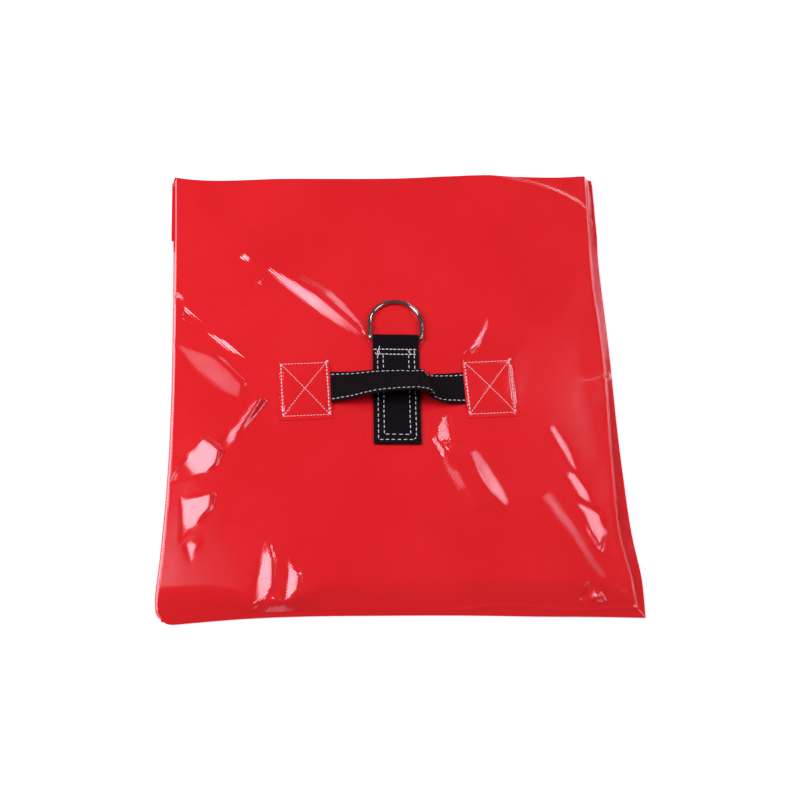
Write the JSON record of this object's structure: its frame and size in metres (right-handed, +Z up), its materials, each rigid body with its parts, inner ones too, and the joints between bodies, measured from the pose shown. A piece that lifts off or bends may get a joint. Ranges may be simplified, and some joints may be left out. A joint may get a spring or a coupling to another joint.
{
  "type": "fire blanket pouch",
  "caption": "Flat coated-fabric pouch holding a folded glass-fibre fire blanket, with a grip handle, a strap-mounted D-ring and a fold-over flap.",
  "frame": {"origin": "under the middle of the pouch, on the surface that its back lies on", "axes": "+Z up, out of the front face that carries the handle; +Y towards the mouth; +X across the pouch, to the right when the mouth is at the top"},
  "size_m": [0.4932, 0.535, 0.0293],
  "materials": {
    "red_vinyl": "gloss",
    "black_webbing": "satin",
    "white_thread": "matte",
    "red_thread": "matte",
    "nickel_steel": "polished",
    "hook_pile": "matte",
    "loop_pile": "matte",
    "glass_cloth": "satin",
    "pull_webbing": "satin"
  },
  "bodies": {
    "pouch": {"front_panel": "red_vinyl", "back_panel": "red_vinyl", "loop_strip": "loop_pile", "loop_strip_thread": "red_thread", "ring_strap": "black_webbing", "strap_thread_outer": "white_thread", "strap_thread_inner": "white_thread", "strap_cross_thread": "white_thread", "handle_end_left": "black_webbing", "handle_end_right": "black_webbing", "patch_left": "red_vinyl", "patch_right": "red_vinyl", "patch_thread_left": "white_thread", "patch_thread_right": "white_thread"},
    "ring": {"d_ring": "nickel_steel"},
    "handle": {"handle_webbing": "black_webbing", "handle_thread_upper": "white_thread", "handle_thread_lower": "white_thread"},
    "lip": {"flap_lip": "red_vinyl"},
    "flap": {"closing_flap": "red_vinyl", "hook_strip": "hook_pile", "hook_strip_thread": "red_thread"},
    "blanket": {"blanket": "glass_cloth", "pull_tape_left": "pull_webbing", "pull_tape_right": "pull_webbing", "tape_thread_left": "white_thread", "tape_thread_right": "white_thread"}
  },
  "joints": [
    {"name": "ring_swing", "type": "hinge", "parent": "pouch", "child": "ring", "pos_m": [0.00445, 0.04878, 0.01895], "axis": [0.9997, -0.0227, 0], "range_deg": [0, 140]},
    {"name": "handle_lift", "type": "slide", "parent": "pouch", "child": "handle", "axis": [0, 0, 1], "range_m": [0, 0.012]},
    {"name": "blanket_pull", "type": "slide", "parent": "pouch", "child": "blanket", "axis": [0, 1, 0], "range_m": [0, 0.285]},
    {"name": "lip_fold", "type": "hinge", "parent": "pouch", "child": "lip", "pos_m": [0, 0.26715, 0.01465], "axis": [1, 0, 0], "range_deg": [0, 175.5]},
    {"name": "flap_unfold", "type": "hinge", "parent": "lip", "child": "flap", "pos_m": [0, 0.26715, 0.00035], "axis": [1, 0, 0], "range_deg": [0, 90.5]}
  ],
  "couplings": [
    {"joint": "lip_fold", "follows": "blanket_pull", "rad_per_m": 10.717},
    {"joint": "flap_unfold", "follows": "blanket_pull", "rad_per_m": 5.5116}
  ]
}
